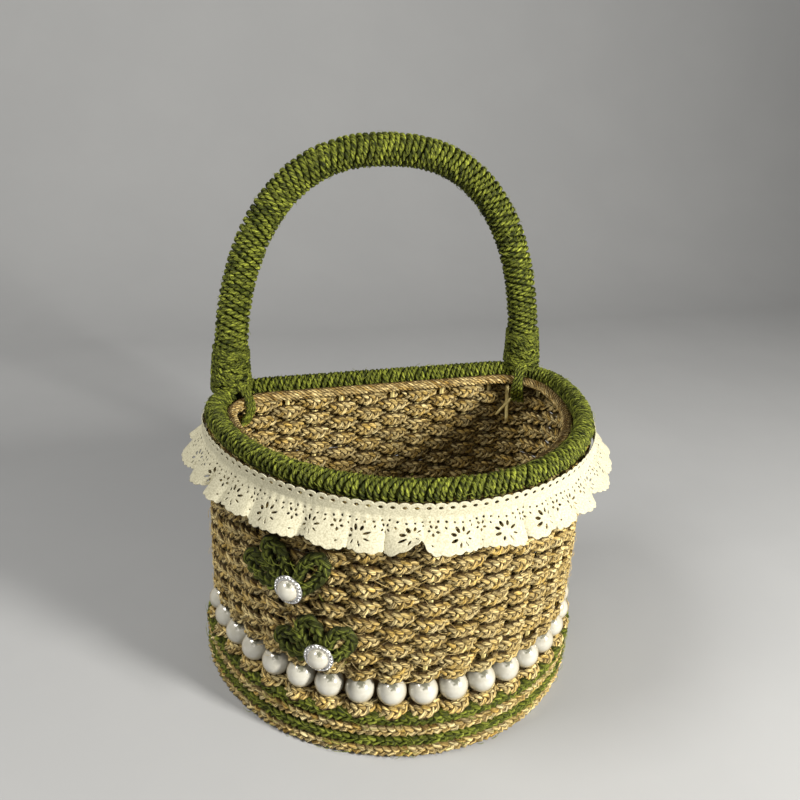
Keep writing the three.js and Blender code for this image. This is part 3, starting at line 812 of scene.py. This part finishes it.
def add_foot_band():
    s = np.arange(0, PLAN_LENGTH, 1.0)
    for number in range(1, 5):
        node = f"base_braid_{number}"
        low, high = node_box(node)
        z = node_middle(node) + wander(s, "band rise", number)
        line = wall_points(s, BAND_OUT + wander(s, "band out", number), z)
        half_height = 0.5 * (high[2] - low[2]) + BAND_OVERLAP
        skein = Skein()
        plaited_rope(skein, line, UP, half_height, 0.5 * BAND_DEPTH, BAND_PLAIT, closed=True,
                     phase=BAND_PHASE * number, sides=8)
        material, slot = (JUTE_BAND, "jute_braid") if number % 2 else (GREEN_BAND, "green_braid")
        skein.build(f"foot_braid_{number}", material, slot, node)


# Rim, ring and handle


def wound_cord(skein, path, length, core, radius, pitch, lay, lean, lean_at, hand, flare, seed):
    """Two-ply cord wound round a path; it leans by lean at the angle lean_at of the path's section"""
    turns = length / pitch
    samples = int(turns * math.tau * core / (lay / LAY_SAMPLES))
    turn = np.linspace(0, math.tau * turns, samples)
    along = pitch * turn / math.tau + lean * np.sin(turn - lean_at)
    along = np.clip(along + wander(turn, "turn place", seed, pitch), 0, length)
    centre, first, second = path(along)
    reach = core + flare(along) + wander(turn, "turn reach", seed)
    outward = np.cos(hand * turn)[:, None] * first + np.sin(hand * turn)[:, None] * second
    laid_cord(skein, centre + reach[:, None] * outward, outward, radius, lay, hand=-1)
    marks = np.linspace(0, length, int(length / 2))
    centre, first, second = path(marks)
    skein.tube(centre, first, core - CORE_SINK * radius + flare(marks), sides=12)


def rim_path(along):
    points, facing = plan(along)
    points[:, 2] = RIM_Z
    return points, facing, np.broadcast_to(UP, points.shape)


def add_rim():
    skein = Skein()
    wound_cord(skein, rim_path, PLAN_LENGTH, RIM_CORE, RIM_CORD, RIM_PITCH, RIM_LAY, RIM_LEAN,
               lean_at=0.5 * math.pi, hand=1, flare=np.zeros_like, seed=50)
    skein.build("rim_winding", GREEN_CORD, "green_cord", "rim_wrap", "rim_core")


def add_ring():
    """Fine cords side by side round the closed line of the ring, over its core"""
    skein = Skein()
    line = wall_points(np.arange(0, PLAN_LENGTH, 0.9), -RING_IN, RING_Z)
    whole = distances(np.vstack([line, line[:1]]))
    lay = whole[-1] / round(whole[-1] / RING_LAY)
    deep = section(line, UP, closed=True)[1]
    reach = RING_RADIUS - RING_CORD
    for number in range(RING_CORDS):
        turn = -math.tau * (whole[:-1] / lay) + math.tau * number / RING_CORDS
        centre = line + reach * (np.cos(turn)[:, None] * deep + np.sin(turn)[:, None] * UP)
        skein.tube(centre, UP, RING_CORD, closed=True, start=RING_SHIFT * number)
    skein.tube(line, UP, reach, sides=8, closed=True)
    skein.build("inner_ring_cord", TAN_CORD, "tan_cord", "inner_ring")


def handle_line():
    """Points along the middle of the handle, from the foot at -X over the top to the foot at +X"""
    angle = np.linspace(0, math.pi, 1200)
    power = 2 / HANDLE_SQUARENESS
    side = -np.sign(np.cos(angle)) * np.abs(np.cos(angle)) ** power
    rise = np.abs(np.sin(angle)) ** power * HANDLE_RISE
    foot_y = math.sqrt(CORNER_RADIUS ** 2 - HANDLE_PAST ** 2) + HANDLE_BACKSET
    height = RIM_Z + HANDLE_SEAT + rise
    return np.stack([HANDLE_HALF_WIDTH * side, foot_y + HANDLE_LEAN * rise, height], axis=-1)


HANDLE_LINE = handle_line()
HANDLE_MARKS = distances(HANDLE_LINE)
HANDLE_LENGTH = float(HANDLE_MARKS[-1])


def on_handle(along):
    return np.stack([np.interp(along, HANDLE_MARKS, values) for values in HANDLE_LINE.T], axis=-1)


def handle_path(along):
    tangent = unit(on_handle(along + 0.5) - on_handle(along - 0.5))
    first = unit(FRONT - (tangent @ FRONT)[:, None] * tangent)
    return on_handle(along), first, np.cross(tangent, first)


def foot_flare(along):
    """The handle thickens where its cord ends are bound down at the feet"""
    from_foot = np.minimum(along, HANDLE_LENGTH - along)
    return FLARE_RISE * np.exp(-(from_foot / FLARE_LENGTH) ** 2)


def add_handle():
    skein = Skein()
    wound_cord(skein, handle_path, HANDLE_LENGTH, HANDLE_CORE, HANDLE_CORD, HANDLE_PITCH, HANDLE_LAY,
               HANDLE_CORD_LEAN, lean_at=0.0, hand=-1, flare=foot_flare, seed=60)
    skein.build("handle_winding", GREEN_CORD, "green_cord", "handle_wrap", "handle_core")
    for label, sign in (("left", -1), ("right", 1)):
        skein = Skein()
        bind_foot(skein, sign)
        skein.build(f"foot_binding_{label}", GREEN_CORD, "green_cord", f"handle_lashing_{label}")


def bind_foot(skein, sign):
    """Cord crossed over the foot both ways, and over the ring to a tail inside the wall"""
    turn = np.linspace(0, math.tau * BINDING_TURNS, 1300)
    sweep = BINDING_REACH + BINDING_CHANGE * np.sin(BINDING_CHANGES * turn)
    up_leg = BINDING_MIDDLE + sweep * np.sin(BINDING_SWEEPS * turn)
    along = up_leg if sign < 0 else HANDLE_LENGTH - up_leg
    centre, first, second = handle_path(along)
    reach = HANDLE_RADIUS - BINDING_SINK + foot_flare(along)
    outward = np.cos(turn)[:, None] * first + np.sin(turn)[:, None] * second
    laid_cord(skein, centre + reach[:, None] * outward, outward, BINDING_CORD, BINDING_LAY)

    from_back = STRAIGHT_HALF + math.asin(HANDLE_PAST / CORNER_RADIUS) * CORNER_RADIUS
    station = from_back if sign < 0 else PLAN_LENGTH - from_back
    knots = np.array(TAIL_HANG)
    marks = np.linspace(0, len(knots) - 1, 60)
    out, height = (smooth_line(np.interp(marks, range(len(knots)), values)) for values in knots.T)
    for strand in range(TAIL_CORDS):
        beside = (strand - 0.5 * (TAIL_CORDS - 1)) * TAIL_SPACING
        s = station + beside + TAIL_WAVE * np.sin(marks + strand)
        line = wall_points(s, out, RIM_Z + height)
        laid_cord(skein, line, plan(s)[1], BINDING_CORD, BINDING_LAY, phase=strand)


def smooth_line(values, half=4):
    """Round the corners of a line of values, keeping its ends"""
    width = 2 * half + 1
    return np.convolve(np.pad(values, half, mode="edge"), np.ones(width) / width, mode="valid")


# Pearls


def turned(profile, steps):
    """Points and faces of radii and heights turned round the last axis, from one pole to the other"""
    turn = math.tau * np.arange(steps) / steps
    radii, heights = np.array(profile[1:-1]).T
    across = radii[:, None] * np.cos(turn)
    over = radii[:, None] * np.sin(turn)
    rings = np.stack([across, over, np.broadcast_to(heights[:, None], across.shape)], axis=-1)
    points = np.vstack([[0, 0, profile[0][1]], rings.reshape(-1, 3), [0, 0, profile[-1][1]]])
    pole = len(points) - 1
    faces = []
    for column in range(steps):
        beside = (column + 1) % steps
        faces.append([0, 1 + column, 1 + beside])
        for row in range(len(radii) - 1):
            here = 1 + row * steps
            faces.append([here + column, here + steps + column, here + steps + beside, here + beside])
        here = 1 + (len(radii) - 1) * steps
        faces.append([here + column, pole, here + beside])
    return points, faces


def ball(rows, columns):
    tilt = np.pi * np.arange(rows + 1) / rows
    return turned(list(zip(np.sin(tilt), np.cos(tilt))), columns)


def joined(shapes):
    """One mesh from a list of points and faces"""
    points, faces, count = [], [], 0
    for shape_points, shape_faces in shapes:
        faces += [[corner + count for corner in face] for face in shape_faces]
        points.append(shape_points)
        count += len(shape_points)
    return np.concatenate(points), faces


def add_pearls():
    sphere, faces = ball(16, 28)
    beads = []
    for number in range(STAKE_COUNT):
        s = (number + FIRST_STAKE) * STAKE_PITCH
        centre, facing = plan(s)
        across = np.array([-facing[1], facing[0], 0.0])
        placed = centre + PEARL_RADIUS * (sphere[:, 2:] * facing + sphere[:, :1] * across)
        placed[:, 2] = PEARL_Z + PEARL_RADIUS * sphere[:, 1]
        beads.append((placed, faces))
    make_piece("pearl_string", *joined(beads), PEARL, "pearl", ("pearl_strand",))


# Lace


def lace_cloth(u, v):
    """Positive where the flat lace has cloth, at u along it and v down from its top, both in millimetres"""
    arch = PICOT_RISE * np.abs(np.sin(math.pi * u / LACE_PICOT)) ** 0.6
    cloth = v - (PICOT_RISE - arch)
    scallop = SCALLOP_DEPTH * np.abs(np.cos(math.pi * u / LACE_MOTIF)) ** 0.7
    scallop = scallop + HEM_PICOT_DEPTH * np.abs(np.sin(math.pi * u / HEM_PICOT))
    cloth = np.minimum(cloth, LACE_WIDTH - HEM_MARGIN + scallop - v)

    def hole(x, y, half_x, half_y, angle=0.0):
        nonlocal cloth
        right = x * math.cos(angle) + y * math.sin(angle)
        down = y * math.cos(angle) - x * math.sin(angle)
        cloth = np.minimum(cloth, (np.hypot(right / half_x, down / half_y) - 1) * min(half_x, half_y))

    def repeat(period, shift=0.0):
        return np.mod(u - shift + period / 2, period) - period / 2

    hole(repeat(LACE_PICOT, LACE_PICOT / 2), v - SLOT_ROW, *SLOT)
    for k in range(WAVE_COUNT):
        x = repeat(LACE_MOTIF, LACE_MOTIF * (k + 0.5) / WAVE_COUNT)
        hole(x, v - WAVE_ROW + WAVE_SWING * math.cos(k * 1.05), *WAVE)
    for k in range(DAISY_COUNT):
        angle = math.tau * (k + 0.5) / DAISY_COUNT
        x = repeat(LACE_MOTIF, LACE_MOTIF / 2 + DAISY_REACH[0] * math.cos(angle))
        y = v - DAISY_ROW - DAISY_REACH[1] * math.sin(angle)
        hole(x, y, DAISY[0] + 0.25 * (k % 2), DAISY[1] + 0.2 * math.cos(angle + 2.2), angle)
    for k in range(FAN_COUNT):
        angle = math.tau * k / FAN_COUNT + 0.3
        x = repeat(LACE_MOTIF, FAN_REACH[0] * math.cos(angle))
        hole(x, v - FAN_ROW - FAN_REACH[1] * math.sin(angle), *FAN, angle)
    for side in (-1, 1):
        hole(repeat(LACE_MOTIF, side * LEAF_REACH), v - LEAF_ROW, *LEAF, side * LEAF_TILT)
    hole(repeat(LACE_MOTIF), v - DOT_ROW, *DOT)
    return cloth


def flat_lace(length, cell):
    """Grid of cloth cells cut along the edges of the lace and of its eyelets"""
    columns = int(round(length / cell))
    rows = int(round(LACE_WIDTH / cell)) + 2
    u = np.arange(columns + 1) * (length / columns)
    v = np.arange(rows + 1) * cell - cell / 2
    grid_u, grid_v = np.meshgrid(u, v, indexing="ij")
    cloth = lace_cloth(grid_u, grid_v)
    points, index, faces = [], {}, []

    def corner(i, j):
        key = (i, j)
        if key not in index:
            index[key] = len(points)
            points.append((u[i], v[j]))
        return index[key]

    def crossing(a, b):
        key = (min(a, b), max(a, b))
        if key not in index:
            share = cloth[a] / (cloth[a] - cloth[b])
            index[key] = len(points)
            cut_u = u[a[0]] + share * (u[b[0]] - u[a[0]])
            cut_v = v[a[1]] + share * (v[b[1]] - v[a[1]])
            points.append((cut_u, cut_v))
        return index[key]

    inside = cloth > 0
    for i in range(columns):
        for j in range(rows):
            ring = [(i, j), (i + 1, j), (i + 1, j + 1), (i, j + 1)]
            if not any(inside[place] for place in ring):
                continue
            face = []
            for place, after in zip(ring, ring[1:] + ring[:1]):
                if inside[place]:
                    face.append(corner(*place))
                if inside[place] != inside[after]:
                    face.append(crossing(place, after))
            faces.append(face)
    return np.array(points), faces


def gathered(points, length):
    """Hang the flat lace round the basket: a snug header, then broad folds with narrow valleys"""
    u, v = points[:, 0], points[:, 1]
    s = u * PLAN_LENGTH / length
    round_rim = math.tau * s / PLAN_LENGTH
    fold_start = LACE_HEADER - FOLD_ABOVE
    free = np.clip(v - fold_start, 0, None) / (LACE_WIDTH - fold_start)
    fold = 0.5 * LACE_FOLDS * round_rim + FOLD_DRIFT[1] * np.sin(FOLD_DRIFT[0] * round_rim)
    crown = np.sqrt(np.sin(fold) ** 2 + 0.01)
    depth = LACE_FOLD_DEPTH * (1 + FOLD_CHANGE[1] * np.sin(FOLD_CHANGE[0] * round_rim + 2.0))
    out = RIM_RADIUS + LACE_GAP + LACE_FLARE * free ** 1.15 + depth * (crown - 0.65) * free ** 0.8
    pucker = np.exp(-((v - LACE_HEADER) / PUCKER_HEIGHT) ** 2)
    out = out + PUCKER_DEPTH * pucker * np.sin(PUCKER_COUNT * round_rim)
    sideways = -FOLD_SWAY * np.sin(2 * fold) * free
    drop = np.where(v < LACE_HEADER, v, LACE_HEADER + (v - LACE_HEADER) * LACE_HANG)
    z = LACE_TOP_Z - drop - FOLD_SAG * (crown - 0.5) * free ** 2
    z = z + wander(s, "lace hem") * np.sin(2 * fold) * free ** 2
    z = z + NOTCH_RISE * np.clip(1 - np.abs(s - NOTCH_PLACE) / NOTCH_REACH, 0, 1) * free ** 2
    return wall_points(s + sideways, out, z)


def add_lace():
    length = LACE_FULLNESS * (PLAN_LENGTH + math.tau * RIM_RADIUS)
    flat, faces = flat_lace(length, LACE_CELL)
    piece = make_piece("lace_ruffle", gathered(flat, length), faces, LACE, "cotton_lace", ("lace_trim",))
    cloth = piece.modifiers.new("cloth", "SOLIDIFY")
    cloth.thickness = LACE_THICKNESS * MM
    cloth.offset = 0


# Flowers


def flower_points(flower, sideways, rise, out):
    angle = flower["around"] + sideways / (FRONT_RADIUS + FLOWER_OUT)
    radius = FRONT_RADIUS + out
    height = flower["height"] + rise
    return np.stack([radius * np.sin(angle), -radius * np.cos(angle), height * np.ones_like(angle)], axis=-1)


def add_flower(label, flower):
    """Three petals, each a closed loop of braid that lies on the wall"""
    skein = Skein()
    half = PETAL_CORD / 2
    turn = np.linspace(0, math.tau, 56, endpoint=False)
    reach = PETAL_START + flower["length"] / 2
    for number, degrees in enumerate(flower["petals"]):
        lean = math.radians(degrees)
        lift = PETAL_LIFT + half + PETAL_STEP * number

        def loop(inside):
            along = reach + (flower["length"] / 2 - half - inside) * np.cos(turn)
            across = (PETAL_WIDTH / 2 - half - inside) * np.sin(turn) * (1 + PETAL_TAPER * np.cos(turn))
            sideways = along * math.cos(lean) - across * math.sin(lean)
            rise = along * math.sin(lean) + across * math.cos(lean) - PETAL_ROOT
            return flower_points(flower, sideways, rise, lift)

        line = loop(0)
        inward = unit(loop(1) - line)
        plaited_rope(skein, line, inward, half + 0.2, half - 0.2, PETAL_PLAIT, closed=True, phase=number,
                     sides=8)
    skein.build(f"flower_petals_{label}", FLOWER_CORD, "flower_cord", f"flower_{label}")


def add_jewel(label, flower):
    """Silver saucer with a beaded edge, and the pearl that it holds"""
    origin = flower_points(flower, np.zeros(1), 0.0, JEWEL_OUT)[0]
    around = flower["around"]
    across = np.array([math.cos(around), math.sin(around), 0.0])
    facing = np.array([math.sin(around), -math.cos(around), 0.0])

    def placed(points):
        return origin + points[:, :1] * across + points[:, 1:2] * UP + points[:, 2:] * facing

    rim, pearl = BEZEL_RADIUS, CABOCHON_RADIUS
    saucer = [(0, 0), (rim - 0.7, 0), (rim - 0.1, 0.5), (rim, 1.0), (rim - 0.25, 1.35), (rim - 0.5, 1.1)]
    saucer += [(rim - 1.0, 0.9), (pearl + 0.1, 1.5), (pearl - 0.3, 1.3), (0, 1.2)]
    shapes = [turned(saucer, 56)]
    sphere, faces = ball(8, 10)
    for angle in math.tau * np.arange(BEZEL_BEADS) / BEZEL_BEADS:
        spot = (rim - BEAD_IN) * np.array([math.cos(angle), math.sin(angle), 0.0]) + CABOCHON_SEAT * UP
        shapes.append((BEAD_RADIUS * sphere + spot, faces))
    points, faces = joined(shapes)
    make_piece(f"flower_bezel_{label}", placed(points), faces, SILVER, "silver_bezel", (f"bezel_{label}",))

    tilt = np.linspace(0, math.pi / 2, 14)
    dome = [(pearl * math.sin(a), CABOCHON_SEAT + CABOCHON_HEIGHT * math.cos(a)) for a in tilt]
    points, faces = turned(dome + [(0, CABOCHON_SEAT)], 48)
    node = f"pearl_cabochon_{label}"
    make_piece(f"flower_pearl_{label}", placed(points), faces, PEARL, "pearl", (node,))


# Loose fibres


def stray_fibres(name, material, slot, count, spots, seed, reach):
    """Fine fibres that stand off a cord; spots gives points, outward and lengthwise directions"""
    rng = np.random.default_rng(seed)
    points, outward, along = spots(rng, count)
    across = np.cross(outward, along)
    step = np.linspace(0, 1, 6)[:, None]
    skein = Skein()
    for number in range(count):
        angle = rng.normal(0, FIBRE_SPREAD) + math.pi * rng.integers(0, 2)
        heading = math.cos(angle) * along[number] + math.sin(angle) * across[number]
        bend = rng.uniform(-FIBRE_BEND, FIBRE_BEND) * np.cross(outward[number], heading)
        length = reach * rng.uniform(*FIBRE_LENGTHS)
        rise = reach * rng.uniform(*FIBRE_RISES)
        line = points[number] + length * step * heading + rise * np.sin(step * FIBRE_ARCH) * outward[number]
        line = line + length * step ** 2 * bend - FIBRE_SINK * outward[number]
        line[:, 2] = np.maximum(line[:, 2], FIBRE_FLOOR)
        skein.tube(line, outward[number], rng.uniform(*FIBRE_RADII), sides=3, start=number * FIBRE_SHIFT)
    skein.build(name, material, slot)


def wall_spots(out, low, high):
    def spots(rng, count):
        s = rng.uniform(0, PLAN_LENGTH, count)
        z = rng.uniform(low, high, count)
        facing = plan(s)[1]
        return wall_points(s, out, z), facing, np.cross(UP, facing)
    return spots


def winding_spots(path, length, radius):
    def spots(rng, count):
        along = rng.uniform(0, length, count)
        centre, first, second = path(along)
        angle = rng.uniform(0, math.tau, count)[:, None]
        outward = np.cos(angle) * first + np.sin(angle) * second
        return centre + (radius - 0.1) * outward, outward, np.cos(angle) * second - np.sin(angle) * first
    return spots


def flower_spots(label):
    def spots(rng, count):
        sideways = rng.uniform(*PETAL_FUZZ_ACROSS, count)
        rise = rng.uniform(*PETAL_FUZZ_RISE, count)
        points = flower_points(FLOWERS[label], sideways, rise, PETAL_FUZZ_OUT)
        facing = unit(points * [1.0, 1.0, 0.0])
        return points, facing, np.cross(UP, facing)
    return spots


def add_fibres():
    """Lots of loose fibres: name, material, slot, count, places, seed and reach"""
    wall = wall_spots(BULGE_OUT + 1.1, BAND_TOP + 14, RIM_Z - 8)
    band = wall_spots(BAND_OUT + 0.45 * BAND_DEPTH, 1, BAND_TOP)
    rim = winding_spots(rim_path, PLAN_LENGTH, RIM_RADIUS)
    handle = winding_spots(handle_path, HANDLE_LENGTH, HANDLE_RADIUS)
    lots = [
        ("flower_fibres_upper", GREEN_FUZZ, "flower_cord", 28, flower_spots("upper"), 85, 0.6),
        ("flower_fibres_lower", GREEN_FUZZ, "flower_cord", 28, flower_spots("lower"), 86, 0.6),
        ("wall_fibres", FUZZ, "jute_rope", 900, wall, 81, 1.0),
        ("band_fibres", GREEN_FUZZ, "green_braid", 350, band, 82, 1.0),
        ("rim_fibres", GREEN_FUZZ, "green_cord", 420, rim, 83, 0.5),
        ("handle_fibres", GREEN_FUZZ, "green_cord", 420, handle, 84, 0.5),
    ]
    for lot in lots:
        stray_fibres(*lot)


# Floor, backdrop and light


def add_studio():
    profile = [(-FLOOR_HALF, 0.0), (BEND_START, 0.0)]
    for angle in np.linspace(0.1, math.pi / 2, 12):
        profile.append((BEND_START + BEND_RADIUS * math.sin(angle), BEND_RADIUS * (1 - math.cos(angle))))
    profile.append((BEND_START + BEND_RADIUS, FLOOR_HALF))
    points = [(x, y, z) for y, z in profile for x in (-FLOOR_HALF, FLOOR_HALF)]
    faces = [[2 * i, 2 * i + 1, 2 * i + 3, 2 * i + 2] for i in range(len(profile) - 1)]
    floor = smooth_mesh("studio_floor", points, faces, FLOOR)


def add_lighting():
    for name, (place, size, power, colour) in LIGHTS.items():
        data = bpy.data.lights.new(name, "AREA")
        data.shape = "RECTANGLE"
        data.size, data.size_y = size
        data.energy = power
        data.color = colour
        lamp = new_object(name, data)
        lamp.location = place
        lamp.rotation_euler = (Vector(LIGHT_AIM) - Vector(place)).to_track_quat("-Z", "Y").to_euler()
    world = bpy.data.worlds.new("studio")
    world.use_nodes = True
    background = world.node_tree.nodes["Background"].inputs
    background["Color"].default_value = WORLD_COLOR
    background["Strength"].default_value = WORLD_STRENGTH
    bpy.context.scene.world = world


def dress_kept_nodes():
    for name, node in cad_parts.items():
        if name == "base_board" or name.startswith("stake_"):
            node.data.materials.clear()
            node.data.materials.append(BOARD if name == "base_board" else BAMBOO)


add_camera()
add_foot_band()
add_locking_rows()
add_weave()
add_bamboo_bits()
add_pearls()
add_rim()
add_ring()
add_handle()
add_lace()
for label, flower in FLOWERS.items():
    add_flower(label, flower)
    add_jewel(label, flower)
add_fibres()
dress_kept_nodes()
add_studio()
add_lighting()
bpy.context.scene.view_settings.view_transform = "Standard"
